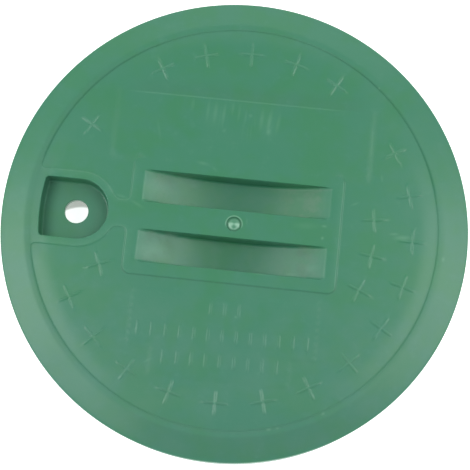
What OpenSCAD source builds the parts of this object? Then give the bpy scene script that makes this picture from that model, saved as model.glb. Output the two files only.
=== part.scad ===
// Drop-over cover of a round ground valve box, moulded in one piece of green plastic.
// The origin is the centre of the plane that the skirt's foot stands on, and +Z is up.
// The lifting bar runs along X between its two finger scoops, with the bolt pocket towards -X.

/* [Cover] */
// Diameter over the foot of the skirt
cover_d = 270; // [260:1:300]
// Height from the foot of the skirt to the raised land
cover_h = 32; // [28:0.5:44]
// Thickness of the top plate, measured in the recessed field
plate_t = 4; // [3:0.25:5]
// Thickness of the skirt and of the walls that hang under the plate
wall_t = 3.5; // [2.5:0.25:4.5]
// Draft of the skirt, in degrees from upright
skirt_draft = 1; // [0:0.25:2]

/* [Rim] */
// Width of the raised rim, from the foot's outer edge to the crease
rim_w = 18; // [15:0.1:20]
// Width of the rounded shoulder beside the crease
shoulder_w = 4; // [3:0.5:6]
// Slope of the rim outside its shoulder, in degrees
rim_slope = 8; // [4:0.5:12]
// Radius of the rim's outer edge
edge_r = 1.2; // [0.6:0.1:2]
// Width of the dished band inside the crease
dish_w = 11; // [8:0.5:14]
// Slope of the dished band where it meets the crease, in degrees
dish_slope = 6.5; // [3:0.5:9]

/* [Relief] */
// Height of the rim, the frames and the bar over the field
land_rise = 0.5; // [0.4:0.05:1]
// Height of the bare panels over the field
panel_rise = 0.25; // [0.15:0.05:0.4]
// Height of the crosses over the field
cross_rise = 0.45; // [0.3:0.05:0.8]
// Width of a cross arm where it leaves the field
cross_w = 1.5; // [1.2:0.1:2.4]
// Length of a cross arm from tip to tip
cross_l = 15; // [12:0.5:18]
// Distance from the crease to the middles of the outer crosses
cross_in = 14.9; // [12:0.1:18]
// Distance from the outer crosses to the inner ones
cross_row = 22; // [20:0.1:26]
// Crosses in a full ring of the grid
cross_count = 24; // [18:1:28]

/* [Lifting bar] */
// Width of the bar between the scoops, at the top
bar_w = 16; // [14:0.5:22]
// Length of a finger scoop, at the top
scoop_l = 108; // [90:1:114]
// Width of a finger scoop, at the top
scoop_w = 19; // [16:0.2:22]
// Depth of a finger scoop in its middle
scoop_depth = 13; // [10:0.5:17]
// Draft of the scoop and pocket walls, in degrees
wall_draft = 2.5; // [1:0.25:4]
// Land past each end of the scoops
frame_end = 6.9; // [5:0.1:9]
// Land along the outer side of each scoop
frame_side = 7.4; // [6:0.1:10]
// Corner radius of the land round the scoops
frame_corner = 4.5; // [2:0.5:7]

/* [Bolt pocket] */
// Width of the pocket, across its straight sides
pocket_w = 35; // [30:0.5:38]
// Length of the pocket, from its outer wall to its round end
pocket_l = 39.4; // [36:0.1:42]
// Depth of the pocket below the land
pocket_depth = 9.5; // [7:0.5:12]
// Land round the pocket's sides and round end
pocket_land = 4.6; // [3.5:0.1:5.5]
// Distance from the crease to the pocket's outer wall
pocket_in = 5; // [3:0.25:6]
// Radius of the pocket's upright outer corners
pocket_corner = 1.8; // [1:0.1:3]
// Radius between the pocket's walls and its floor
pocket_fillet = 2; // [1:0.25:3]
// Diameter of the bolt hole
hole_d = 13.8; // [9:0.1:16]
// Distance from the pocket's outer wall to the middle of the bolt hole
hole_in = 19.8; // [17:0.1:24]
// Radius of the inside corners where the lands meet
web_r = 3; // [1.5:0.25:3.5]

/* [Panels] */
// Length of the upper panel
upper_l = 149; // [130:1:152]
// Width of the upper panel past the frame
upper_w = 38.8; // [30:0.1:42]
// Width of the slope that brings the upper panel down from the frame
panel_ramp = 8; // [4:0.5:12]
// Width of the strip where the upper panel and the frame are one
panel_lap = 1.5; // [1:0.25:3]
// Length of the lower panel's wide part
lower_l = 106; // [90:1:110]
// Width of the lower panel's wide part
lower_w = 32.4; // [26:0.1:34]
// Length of the lower panel's narrow part
foot_l = 79; // [60:1:84]
// Width of the lower panel's narrow part
foot_w = 16; // [10:0.5:17]
// Gap between the frame and the lower panel
lower_gap = 7; // [4:0.5:8]
// Corner radius of the panels
panel_corner = 4; // [2:0.5:6]

/* [Grip bars] */
// Bars in each row of the lower panel, from the frame outwards
bar_counts = [3, 13, 9]; // [1:1:13]
// Distance between the bars of a row
bar_pitch = 8; // [6:0.5:8]
// Distance between the rows
bar_row = 14.8; // [12:0.1:15]
// Length of a bar
bar_l = 8.6; // [6:0.2:11]
// Width of a bar where it leaves the field
bar_stroke = 1.4; // [1:0.1:2]
// Height of a bar over the field
bar_rise = 0.5; // [0.4:0.05:0.8]

/* [Gate mark] */
// Diameter of the moulding gate's nub, in the middle of the bar
gate_d = 7.5; // [5:0.25:9]
// Height of the nub
gate_h = 0.6; // [0.3:0.05:0.7]
// Width of the groove round the nub
gate_groove = 0.6; // [0.5:0.1:1.2]
// Depth of the groove
gate_sink = 0.8; // [0.7:0.05:1]

/* [Underside] */
// Gap between the skirt and the locating ring, where the box's rim goes
channel_w = 14; // [12:0.5:16]
// Height of the locating ring's foot over the skirt's foot
ring_lift = 6; // [4:0.5:9]
// Thickness of the ribs
rib_t = 2.5; // [2:0.25:3.5]
// Depth of the ribs below the plate
rib_h = 12; // [8:0.5:13]
// Radial ribs between the two rings
rib_count = 8; // [6:2:16]
// Outer radius of the hub ring, round the scoops
hub_r = 77; // [76:0.5:82]
// Distance from the middle to each of the two webs under the bar
web_x = 38; // [30:1:42]

/* [Hidden] */

green = [0.29, 0.54, 0.42];
eps = 0.01;
$fn = 60;

foot_r = cover_d / 2;
crease_r = foot_r - rim_w;
dish_r = crease_r - dish_w;
blend_w = 0.64 * dish_w;
field_z = cover_h - land_rise;
under_z = field_z - plate_t;

// The land's fall below the top, as a curve that eases into a straight slope
function eased(x, ease, slope) =
    tan(slope) * (x <= 0 ? 0 : x < ease ? x * x / (2 * ease) : x - ease / 2);
function dish_fall(r) = eased(min(r, crease_r) - dish_r, blend_w, dish_slope);
function rim_fall(x) =
    tan(rim_slope) * (x < shoulder_w ? x / 2 + x * x / (4 * shoulder_w) : x - shoulder_w / 4);
function land_z(r) = cover_h - dish_fall(r) - (r > crease_r ? rim_fall(r - crease_r) : 0);
function steps(from, to, n) = [for (i = [0 : n]) from + (to - from) * i / n];

// Radii at which the land's section has a point
curve_r = concat([0], steps(dish_r, dish_r + blend_w, 5), steps(crease_r, crease_r + shoulder_w, 3));

// The outer edge is an arc between the rim's slope and the skirt's draft
function skirt_r(z) = foot_r - z * tan(skirt_draft);
edge_c = let (r = skirt_r(land_z(foot_r) - edge_r) - edge_r)
    [r, land_z(r) - edge_r / cos(rim_slope)];
edge_arc = [for (a = steps(90 - rim_slope, skirt_draft, 5)) edge_c + edge_r * [cos(a), sin(a)]];

scoop_r = (scoop_l * scoop_l / 4 + scoop_depth * scoop_depth) / (2 * scoop_depth);
scoop_y = (bar_w + scoop_w) / 2;
frame_x = scoop_l / 2 + frame_end;
frame_y = bar_w / 2 + scoop_w + frame_side;

pocket_out = crease_r - pocket_in;
pocket_end = pocket_w / 2;
pocket_x = -(pocket_out - pocket_l + pocket_end);
pocket_side = pocket_end + pocket_land;
hole_x = -(pocket_out - hole_in);

lower_y = -(frame_y + lower_gap + lower_w / 2);
bar_y = -(frame_y + lower_gap + lower_w / 4);

outer_cross_r = crease_r - cross_in;
inner_cross_r = outer_cross_r - cross_row;
cross_step = 360 / cross_count;
// Steps of the outer ring that the pocket and the plain corners of the field take up
cross_gaps = [3, 9, 11, 12, 13];
// Steps of the inner ring that hold a cross
inner_steps = [0.5, -0.5, -1.5, -10.5];

ring_r = foot_r - wall_t - channel_w;
rib_z = under_z - rib_h;

// Sizes of the pocket's sections, from over the land down through the floor fillet
pocket_sections = concat(
    [[-1, -tan(wall_draft)]],
    [for (a = steps(0, 90, 4))
        let (wall = pocket_depth - pocket_fillet)
        [wall + pocket_fillet * sin(a),
         wall * tan(wall_draft) + pocket_fillet * (1 - cos(a))]]);

// Shell of the rim, the plate and the skirt, turned round the middle
module shell() {
    under_r = [for (r = curve_r) if (r < foot_r - wall_t) r];
    inner_r = skirt_r(0) - wall_t;
    rotate_extrude() polygon(concat(
        [for (r = curve_r) [r, land_z(r)]],
        edge_arc,
        [[foot_r, 0], [inner_r, 0]],
        [[inner_r - under_z * tan(skirt_draft), land_z(inner_r) - land_rise - plate_t]],
        [for (i = [len(under_r) - 1 : -1 : 0])
            [under_r[i], land_z(under_r[i]) - land_rise - plate_t]]));
}

// A plate with round corners, centred at [x, y]
module plate(x, y, l, w, r, h) {
    translate([x, y, 0]) linear_extrude(h) {
        square([l - 2 * r, w], center = true);
        square([l, w - 2 * r], center = true);
        for (i = [-1, 1], j = [-1, 1])
            translate([i * (l / 2 - r), j * (w / 2 - r)]) circle(r);
    }
}

// The web that rounds an inside corner of the land, with its arc about c
module corner_web(c, r, a, tip, b) {
    difference() {
        polygon([c, a, tip, b]);
        translate(c) circle(r);
    }
}

// Outline of the lands that stand inside the crease: pocket frame, neck and scoop frame
module frame_plan() {
    bay = -frame_x - pocket_x - sqrt(pocket_side * pocket_side - bar_w * bar_w / 4);
    r = min(web_r, 0.35 * bay);
    y = bar_w / 2 + r;
    arc_x = pocket_x + sqrt(pow(pocket_side + r, 2) - y * y);
    ring_y = pocket_side + r;
    ring_x = -sqrt(pow(crease_r - r, 2) - ring_y * ring_y);
    translate([pocket_x, 0]) circle(pocket_side);
    translate([-foot_r, -pocket_side]) square([foot_r + pocket_x, 2 * pocket_side]);
    translate([pocket_x, -bar_w / 2]) square([-pocket_x, bar_w]);
    square([2 * (frame_x - frame_corner), 2 * frame_y], center = true);
    square([2 * frame_x, 2 * (frame_y - frame_corner)], center = true);
    for (i = [-1, 1], j = [-1, 1])
        translate([i * (frame_x - frame_corner), j * (frame_y - frame_corner)])
            circle(frame_corner);
    for (s = [-1, 1]) scale([1, s]) {
        corner_web([arc_x, y], r,
            [pocket_x, 0] + (pocket_side - 0.1) * [arc_x - pocket_x, y] / (pocket_side + r),
            [arc_x - r, bar_w / 2 - 0.5 * r], [arc_x, bar_w / 2 - 0.1]);
        corner_web([-frame_x - r, y], r,
            [-frame_x + 0.1, y], [-frame_x + 0.1, bar_w / 2 - 0.1],
            [-frame_x - r, bar_w / 2 - 0.1]);
        corner_web([ring_x, ring_y], r,
            [ring_x, ring_y] * (crease_r + 1) / (crease_r - r),
            [ring_x - 2 * r, pocket_side - 0.1], [ring_x, pocket_side - 0.1]);
    }
}

// Space over the field, which leaves the frames standing
module field_space() {
    field_r = [for (r = curve_r) if (r < crease_r) r];
    difference() {
        rotate_extrude() polygon(concat(
            [for (r = field_r) [r, land_z(r) - land_rise]],
            [[crease_r, land_z(crease_r) - land_rise], [crease_r, cover_h + 1], [0, cover_h + 1]]));
        translate([0, 0, under_z]) linear_extrude(cover_h) frame_plan();
    }
}

// Bare panel that starts flush with the frame, slopes down and ends a little over the field
module upper_panel() {
    intersection() {
        translate([0, 0, field_z - panel_rise])
            plate(0, frame_y + (upper_w - panel_lap) / 2, upper_l, upper_w + panel_lap, panel_corner,
                land_rise + panel_rise);
        rotate([90, 0, 90]) linear_extrude(upper_l, center = true) polygon([
            [frame_y - panel_lap, field_z - panel_rise], [frame_y - panel_lap, cover_h],
            [frame_y, cover_h], [frame_y + panel_ramp, field_z + panel_rise],
            [frame_y + upper_w, field_z + panel_rise],
            [frame_y + upper_w, field_z - panel_rise]]);
    }
}

// Bare panel in two steps, sunk into the field by as much as it rises
module lower_panel() {
    h = 2 * panel_rise;
    translate([0, 0, field_z - panel_rise]) {
        plate(0, lower_y, lower_l, lower_w, panel_corner / 2, h);
        plate(0, lower_y - lower_w / 2 - foot_w / 2 + panel_corner / 2,
            foot_l, foot_w + panel_corner, panel_corner, h);
    }
}

// A round-topped stroke along X that rises over the field, w wide where it leaves it
module stroke(l, w, rise) {
    r = (w * w / 4 + rise * rise) / (2 * rise);
    translate([-l / 2, 0, field_z + rise - r]) rotate([0, 90, 0]) cylinder(r = r, h = l);
}

// A raised cross of two strokes, r from the middle of the cover
module cross(r) {
    translate([r, 0, 0]) for (a = [0, 90]) rotate(a) stroke(cross_l, cross_w, cross_rise);
}

module crosses() {
    for (k = [0 : cross_count - 1])
        if (len(search(k, cross_gaps)) == 0) rotate(k * cross_step) cross(outer_cross_r);
    for (k = inner_steps) rotate(k * cross_step) cross(inner_cross_r);
}

// Rows of upright grip bars, spread over the two parts of the lower panel
module grip_bars() {
    for (i = [0 : len(bar_counts) - 1], k = [0 : bar_counts[i] - 1])
        translate([(k - (bar_counts[i] - 1) / 2) * bar_pitch, bar_y - i * bar_row, 0])
            rotate(90) stroke(bar_l, bar_stroke, bar_rise);
}

// A finger scoop: walls with draft, and a floor that is one long arc along the bar
// With grow set to a wall's thickness it is the scoop's outside under the plate
module scoop(side, grow = 0) {
    top = grow > 0 ? land_rise + plate_t / 2 : -1;
    deep = scoop_depth + grow + 1;
    function half(depth) = scoop_w / 2 + grow - depth * tan(wall_draft);
    intersection() {
        translate([-scoop_l / 2 - grow, side * scoop_y, cover_h]) rotate([90, 0, 90])
            linear_extrude(scoop_l + 2 * grow) polygon([
                [-half(top), -top], [half(top), -top],
                [half(deep), -deep], [-half(deep), -deep]]);
        translate([0, 0, cover_h - scoop_depth + scoop_r]) rotate([90, 0, 0])
            cylinder(r = scoop_r + grow, h = cover_d, center = true, $fn = 360);
    }
}

// Plan of the bolt pocket, with its outer wall round the middle of the cover
module pocket_plan() {
    offset(r = pocket_corner) offset(delta = -pocket_corner) intersection() {
        circle(pocket_out, $fn = 240);
        union() {
            translate([pocket_x, 0]) circle(pocket_end);
            translate([-foot_r, -pocket_end]) square([foot_r + pocket_x, pocket_w]);
        }
    }
}

// The pocket has draft and a rounded floor edge
module pocket_space() {
    hull() for (s = pocket_sections)
        translate([0, 0, cover_h - s[0] - eps]) linear_extrude(eps)
            offset(delta = -s[1]) pocket_plan();
}

// Walls that hang under the plate round the pocket
module pocket_shell() {
    h = pocket_depth + plate_t - land_rise;
    translate([0, 0, field_z - h]) linear_extrude(h - plate_t / 2) intersection() {
        circle(ring_r - eps);
        union() {
            translate([pocket_x, 0]) circle(pocket_end + wall_t);
            translate([-foot_r, -pocket_end - wall_t])
                square([foot_r + pocket_x, pocket_w + 2 * wall_t]);
        }
    }
}

module ring(r, t, z) {
    translate([0, 0, z]) difference() {
        cylinder(r = r, h = under_z - z + plate_t / 2);
        translate([0, 0, -1]) cylinder(r = r - t, h = under_z - z + plate_t);
    }
}

// Locating ring, hub ring and the ribs between and inside them
module ribs() {
    h = rib_h + plate_t / 2;
    ring(ring_r, wall_t, ring_lift);
    ring(hub_r, rib_t, rib_z);
    for (k = [0 : rib_count - 1]) rotate((k + 0.5) * 360 / rib_count)
        translate([hub_r - rib_t / 2, -rib_t / 2, rib_z])
            cube([ring_r - hub_r - wall_t / 2 + rib_t / 2, rib_t, h]);
    for (k = [-1, 1]) intersection() {
        translate([k * web_x - rib_t / 2, -hub_r, rib_z]) cube([rib_t, 2 * hub_r, h]);
        translate([0, 0, rib_z]) cylinder(r = hub_r - rib_t / 2, h = h);
    }
}

// Nub of the moulding gate, sunk in a groove in the middle of the bar
module gate_groove_space() {
    translate([0, 0, cover_h - gate_sink])
        cylinder(r = gate_d / 2 + gate_groove, h = gate_sink + 1);
}

module gate_nub() {
    r = (gate_d * gate_d / 4 + gate_h * gate_h) / (2 * gate_h);
    intersection() {
        translate([0, 0, cover_h - gate_sink + gate_h - r]) sphere(r);
        translate([0, 0, cover_h - gate_sink - gate_h]) cylinder(r = gate_d / 2, h = 2 * gate_h);
    }
}

module cover() {
    color(green) difference() {
        union() {
            difference() {
                union() {
                    shell();
                    ribs();
                    pocket_shell();
                    for (side = [-1, 1]) scoop(side, wall_t);
                }
                field_space();
                gate_groove_space();
            }
            upper_panel();
            lower_panel();
            crosses();
            grip_bars();
            gate_nub();
        }
        for (side = [-1, 1]) scoop(side);
        pocket_space();
        translate([hole_x, 0, -1]) cylinder(r = hole_d / 2, h = cover_h);
    }
}

cover();
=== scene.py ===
# %% [markdown]
# Valve box cover. The real object is one shot of green polyolefin: a round plate with a raised rim and a
# skirt that drops over the box, a lifting bar between two finger scoops, a bolt pocket, and a thin relief
# of crosses and panels that gives grip. Nothing on it moves, so the whole scene is one finished surface
# that stands in for the plain solid, and a photographer's table round it.

# %% Load the frame
import math
from functools import partial, reduce

import bpy
import numpy as np
from mathutils import Matrix, Vector, geometry


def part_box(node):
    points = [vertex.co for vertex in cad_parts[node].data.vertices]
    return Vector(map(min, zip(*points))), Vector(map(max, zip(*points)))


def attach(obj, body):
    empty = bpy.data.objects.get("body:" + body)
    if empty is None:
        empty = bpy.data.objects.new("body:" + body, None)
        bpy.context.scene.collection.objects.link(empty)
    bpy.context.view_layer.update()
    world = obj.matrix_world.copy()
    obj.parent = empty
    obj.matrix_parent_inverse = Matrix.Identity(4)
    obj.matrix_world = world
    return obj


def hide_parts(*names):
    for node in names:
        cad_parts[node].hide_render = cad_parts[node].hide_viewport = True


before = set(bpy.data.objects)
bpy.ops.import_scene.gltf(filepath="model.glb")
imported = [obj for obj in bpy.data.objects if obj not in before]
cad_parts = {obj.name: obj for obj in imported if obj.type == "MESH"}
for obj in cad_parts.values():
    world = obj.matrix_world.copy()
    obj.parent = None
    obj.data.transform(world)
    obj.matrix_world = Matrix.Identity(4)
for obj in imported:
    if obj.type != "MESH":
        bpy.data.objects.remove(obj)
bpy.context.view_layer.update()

# %% [markdown]
# Units. Blender works in metres, but a moulder thinks in millimetres, so every size below is in
# millimetres and the finished points are scaled once, when the mesh is made. The outer sizes come from
# the frame, so the surface can't outgrow the solid.

# %% Sizes of the moulding
MM = 0.001
low, high = (np.array(corner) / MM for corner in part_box("cover"))
FOOT_R = float(high[0])
COVER_H = float(high[2])

PLATE_T, WALL_T, SKIRT_DRAFT = 4.0, 3.5, math.radians(1)
RIM_W, RIM_SLOPE, EDGE_R = 18.0, math.radians(9.6), 1.2
SHELF_W, SHELF_SLOPE, SHOULDER_W = 2.4, math.radians(4), 2.2
DISH_W, DISH_SLOPE = 11.0, math.radians(6.5)
LAND_RISE = 0.5

CREASE_R = FOOT_R - RIM_W
DISH_R = CREASE_R - DISH_W
DISH_EASE = 0.64 * DISH_W
print(f"from {low[2]:.1f} to {COVER_H:.1f} mm high, foot radius {FOOT_R:.1f} mm, crease at {CREASE_R:.1f} mm")

# %% [markdown]
# The top's large form. Seen from the side the plate is flat, then eases down over a dished band to a
# crease. Past the crease comes a narrow shelf, and over a soft shoulder the rim goes on down to its edge.
# A slope that grows evenly from nothing is a parabola, and it meets the straight slope after it without a
# kink, so the dish and the shoulder are written that way.

# %% Height of the land at any radius
def eased_fall(distance, ease, slope):
    """Fall of a slope that grows evenly over `ease` and then stays: half x squared over ease, then a line."""
    x = np.maximum(distance, 0)
    return math.tan(slope) * np.where(x < ease, x * x / (2 * ease), x - ease / 2)


def land_level(r):
    """Height of the raised land: the cover's height less the dish's fall and, past the crease, the fall of
    the narrow shelf and then, over a soft shoulder, of the rim."""
    shelf_fall = math.tan(SHELF_SLOPE) * np.maximum(r - CREASE_R, 0)
    rim_fall = eased_fall(r - CREASE_R - SHELF_W, SHOULDER_W, RIM_SLOPE - SHELF_SLOPE) + shelf_fall
    return COVER_H - eased_fall(np.minimum(r, CREASE_R) - DISH_R, DISH_EASE, DISH_SLOPE) - rim_fall


print("the land falls", round(COVER_H - float(land_level(np.array(CREASE_R))), 2), "mm at the crease")

# %% [markdown]
# Everything else on the cover is a shape cut from the plate or standing on it. Each shape is described by
# its signed distance: negative inside, zero on its wall, positive outside. Two such numbers can be joined
# or cut with a rounded corner, which is how a mould's fillets are made here, with no modelling of edges.


# %% Joining and cutting with rounded corners
def soft_or(a, b, r):
    """Union whose inside corner is an arc of radius r about the point that is r away from both walls."""
    return np.maximum(r, np.minimum(a, b)) - np.hypot(np.maximum(r - a, 0), np.maximum(r - b, 0))


def soft_and(a, b, r):
    """Intersection whose outside edge is an arc of radius r about the point r inside both walls."""
    return np.minimum(-r, np.maximum(a, b)) + np.hypot(np.maximum(r + a, 0), np.maximum(r + b, 0))


def rounded_box(x, y, half_x, half_y, corner):
    """Distance to a rectangle about the origin: the way past its sides, taken round the corner's arc."""
    u, v = np.abs(x) - half_x + corner, np.abs(y) - half_y + corner
    return np.hypot(np.maximum(u, 0), np.maximum(v, 0)) + np.minimum(np.maximum(u, v), 0) - corner


def smooth_step(t):
    """Rises from 0 to 1 as t does, level at both ends: three t squared less two t cubed."""
    t = np.clip(t, 0, 1)
    return t * t * (3 - 2 * t)


print("a soft corner of radius 3 fills", round(-float(soft_or(0.0, 0.0, 3.0)), 2), "mm of a sharp one")

# %% [markdown]
# The raised land is what the hand and the mower meet first: the rim, a frame round the bolt pocket, a
# frame round the scoops and the neck between them, all level with each other. The field between them
# lies lower. One outline distance says where the land is.

# %% Outline of the raised land
BAR_W, SCOOP_L, SCOOP_W = 16.0, 108.0, 19.0
SCOOP_Y = (BAR_W + SCOOP_W) / 2
FRAME_END_W, FRAME_SIDE_W, FRAME_CORNER = 6.9, 7.4, 4.5
FRAME_X, FRAME_Y = SCOOP_L / 2 + FRAME_END_W, BAR_W / 2 + SCOOP_W + FRAME_SIDE_W

POCKET_W, POCKET_L, POCKET_FRAME_W, CREASE_TO_POCKET = 35.0, 39.4, 4.6, 5.0
POCKET_OUT = CREASE_R - CREASE_TO_POCKET
POCKET_X = -(POCKET_OUT - POCKET_L + POCKET_W / 2)
POCKET_SIDE = POCKET_W / 2 + POCKET_FRAME_W
LAND_FILLET = 3.0


def round_ended(x, y, half_w):
    """Distance to a tongue that comes in from -X and ends in a half circle about the pocket's end."""
    return np.where(x < POCKET_X, np.abs(y), np.hypot(x - POCKET_X, y)) - half_w


def land_plan(x, y):
    """Rim, pocket frame, neck and scoop frame as one outline, with an arc in each corner where they meet."""
    rim_and_pocket = soft_or(CREASE_R - np.hypot(x, y), round_ended(x, y, POCKET_SIDE), LAND_FILLET)
    neck = rounded_box(x - POCKET_X / 2, y, -POCKET_X / 2, BAR_W / 2, 0)
    with_neck = soft_or(rim_and_pocket, neck, LAND_FILLET)
    return soft_or(with_neck, rounded_box(x, y, FRAME_X, FRAME_Y, FRAME_CORNER), LAND_FILLET)


print("pocket frame is", 2 * POCKET_SIDE, "mm wide, scoop frame", 2 * FRAME_X, "by", 2 * FRAME_Y, "mm")

# %% [markdown]
# The relief on the field starts with crosses in two rings. They are only a few tenths of a millimetre
# high, cut into the mould by a small ball cutter, so their sides are soft. A bell, one less v squared and
# then squared, has that section. Folding the plane by angle draws every copy at once: each point is moved
# to where it would be about the nearest cross.

# %% Crosses
CROSS_L, CROSS_RISE, STROKE_W = 15.0, 0.4, 1.2
CREASE_TO_CROSS, CROSS_ROW, CROSS_STEP = 14.9, 22.0, math.radians(15)
OUTER_CROSS_R = CREASE_R - CREASE_TO_CROSS
INNER_CROSS_R = OUTER_CROSS_R - CROSS_ROW
OUTER_STEPS = [k for k in range(-11, 13) if k not in (3, 9, 11, 12, -11)]
INNER_STEPS = [0.5, -0.5, -1.5, -10.5]


def stroke(along, across, length, rise):
    """Height of one stroke: a bell across it, and a steep fall to nothing at its two ends."""
    bell = np.maximum(1 - (across / STROKE_W) ** 2, 0) ** 2
    ends = np.maximum(1 - (np.abs(along) / (length / 2)) ** 4, 0)
    return rise * bell * ends


def fold_to_ring(x, y, steps, ring_r):
    """Each point's place about the nearest cross of a ring, turned back by that cross's angle, and the
    angle: the smallest turn from the point's own angle to one of the crosses' angles says which is near."""
    angles = np.array(steps) * CROSS_STEP
    turn = np.angle(np.exp(1j * (np.arctan2(y, x)[:, None] - angles)))
    nearest = np.abs(turn).argmin(1)
    turn = turn[np.arange(len(turn)), nearest]
    r = np.hypot(x, y)
    return r * np.cos(turn) - ring_r, r * np.sin(turn), angles[nearest]


def crosses(x, y):
    """Height of the two rings of crosses, and the part of it that belongs to strokes that run along Y."""
    height, upright = np.zeros_like(x), np.zeros_like(x)
    for steps, ring_r in ((OUTER_STEPS, OUTER_CROSS_R), (INNER_STEPS, INNER_CROSS_R)):
        u, v, angle = fold_to_ring(x, y, steps, ring_r)
        radial, tangent = stroke(u, v, CROSS_L, CROSS_RISE), stroke(v, u, CROSS_L, CROSS_RISE)
        height = np.maximum.reduce([height, radial, tangent])
        upright = np.maximum.reduce([upright, radial * np.sin(angle) ** 2, tangent * np.cos(angle) ** 2])
    return height, upright


print(len(OUTER_STEPS) + len(INNER_STEPS), "crosses")

# %% [markdown]
# A bare panel lies above the scoops, where the mould has an insert of its own. Soft steps are all that
# it needs: one for each end, one for the ramp that takes it up to the frame, and one for its far side,
# where the fine line stands at the joint of the two inserts.

# %% Upper panel and its fine line
UPPER_L, UPPER_W, UPPER_RISE, UPPER_RAMP, UPPER_LAP = 149.0, 38.8, 0.25, 8.0, 1.3
TOP_EASE, END_EASE, FOOT_EASE, BESIDE_EASE = 5.5, 4.0, 1.4, 5.0
LINE_X, LINE_L, LINE_W, LINE_FADE, LINE_RISE = -5.0, 116.0, 0.6, 20.0, 0.08


def plateau(distance, ease):
    """1 inside, 0 outside, and a soft step `ease` wide about distance 0."""
    return smooth_step(0.5 - distance / ease)


def witness_line(x, y):
    """1 along the middle of the fine line at the upper panel's top edge, fading out at its two ends."""
    beyond = (y - FRAME_Y - UPPER_W) / LINE_W
    return np.maximum(1 - beyond ** 2, 0) ** 2 * plateau(np.abs(x - LINE_X) - LINE_L / 2, LINE_FADE)


def upper_panel(x, y):
    """Height of the upper panel: it starts level with the frame, eases down to its own height, and beyond
    its top edge, where a fine line marks the joint of two mould inserts, it fades out over a soft slope."""
    beside = smooth_step((np.abs(x) - FRAME_X + UPPER_RAMP) / UPPER_RAMP)
    ramp = smooth_step((FRAME_Y + UPPER_RAMP - y) / UPPER_RAMP) * (1 - beside)
    beyond = y - FRAME_Y - UPPER_W
    rise = (UPPER_RISE + (LAND_RISE - UPPER_RISE) * ramp) * smooth_step(1 - beyond / TOP_EASE)
    foot = plateau(FRAME_Y - UPPER_LAP - y, FOOT_EASE + BESIDE_EASE * beside)
    return rise * foot * plateau(np.abs(x) - UPPER_L / 2, END_EASE) + LINE_RISE * witness_line(x, y)


print("upper panel", UPPER_L, "by", UPPER_W, "mm, its far side at", round(FRAME_Y + UPPER_W, 1), "mm")

# %% [markdown]
# Below the scoops lies a second panel in two widths, with rows of short bars on it for grip. A bar has the
# same section as a stroke of a cross, and folding by the pitch of a row draws all its bars at once.

# %% Lower panel and grip bars
LOWER_GAP, LOWER_L, LOWER_W, NARROW_L, NARROW_W = 7.0, 106.0, 32.4, 79.0, 16.0
LOWER_RISE, LOWER_EASE = 0.12, 2.4
LOWER_Y = -(FRAME_Y + LOWER_GAP + LOWER_W / 2)
BAR_COUNTS, BAR_PITCH, BAR_ROW, BAR_L, BAR_RISE = (3, 13, 9), 8.0, 14.8, 8.6, 0.14
BAR_Y = -(FRAME_Y + LOWER_GAP + LOWER_W / 4)


def lower_panel(x, y):
    """Height of the lower panel: a wide part and a narrow one below it, both with soft edges."""
    wide = plateau(np.abs(x) - LOWER_L / 2, LOWER_EASE) * plateau(np.abs(y - LOWER_Y) - LOWER_W / 2, LOWER_EASE)
    below = np.abs(y - LOWER_Y + LOWER_W / 2) - NARROW_W
    narrow = plateau(np.abs(x) - NARROW_L / 2, LOWER_EASE) * plateau(below, LOWER_EASE)
    return LOWER_RISE * np.maximum(wide, narrow)


def grip_bars(x, y):
    """Height of the rows of upright bars: a row is one bar, repeated at the pitch up to its count."""
    height = np.zeros_like(x)
    for row, count in enumerate(BAR_COUNTS):
        reach = (count - 1) / 2
        place = np.clip(np.round(x / BAR_PITCH + reach), 0, count - 1) - reach
        u, v = x - place * BAR_PITCH, y - BAR_Y + row * BAR_ROW
        height = np.maximum(height, stroke(v, u, BAR_L, BAR_RISE))
    return height


print(sum(BAR_COUNTS), "grip bars on a panel", LOWER_L, "by", LOWER_W, "mm")

# %% [markdown]
# The top's surface before anything deep is cut from it is the land's level, lowered to the field wherever
# the land isn't, and raised again by whichever piece of relief is highest there. The gate mark, where
# the plastic entered the mould, is a low dome in a groove in the middle of the bar.

# %% Surface of the plate with its relief
CREASE_STEP_W, FRAME_STEP_W, BY_THE_CREASE = 0.9, 1.2, 3.0
GATE_R, GATE_H, GATE_GROOVE, GATE_SINK, GATE_EDGE_W = 3.45, 0.6, 0.7, 0.8, 0.5


def gate_mark(r):
    """Depth of the gate mark: a parabola for the nub, the flat groove round it, and a rounded step up."""
    nub = GATE_H * np.maximum(1 - (r / GATE_R) ** 2, 0)
    return (nub - GATE_SINK) * smooth_step((GATE_R + GATE_GROOVE + GATE_EDGE_W / 2 - r) / GATE_EDGE_W)


def relief(x, y):
    """Height over the field: the highest of the land, the panels, the crosses and the bars."""
    step_w = np.where(np.hypot(x, y) > CREASE_R - BY_THE_CREASE, CREASE_STEP_W, FRAME_STEP_W)
    land = LAND_RISE * plateau(land_plan(x, y), step_w)
    return np.maximum.reduce([land, upper_panel(x, y), lower_panel(x, y) + grip_bars(x, y), crosses(x, y)[0]])


def plate_surface(x, y):
    """Height of the top before the scoops, the pocket and the hole are cut."""
    r = np.hypot(x, y)
    return land_level(r) - LAND_RISE + relief(x, y) + gate_mark(r)


probe = np.array([0.0, 45.0, 90.0])
print("surface along +X at 0, 45 and 90 mm:", plate_surface(probe, 0 * probe).round(2))

# %% [markdown]
# The deep cuts. A finger scoop is a trough with drafted walls whose floor is one long arc along the bar.
# The pocket is a drafted well with a flat floor, and the bolt hole goes right through it. Their lips are
# rounded, because a sharp edge would be hard on the hand.

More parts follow.
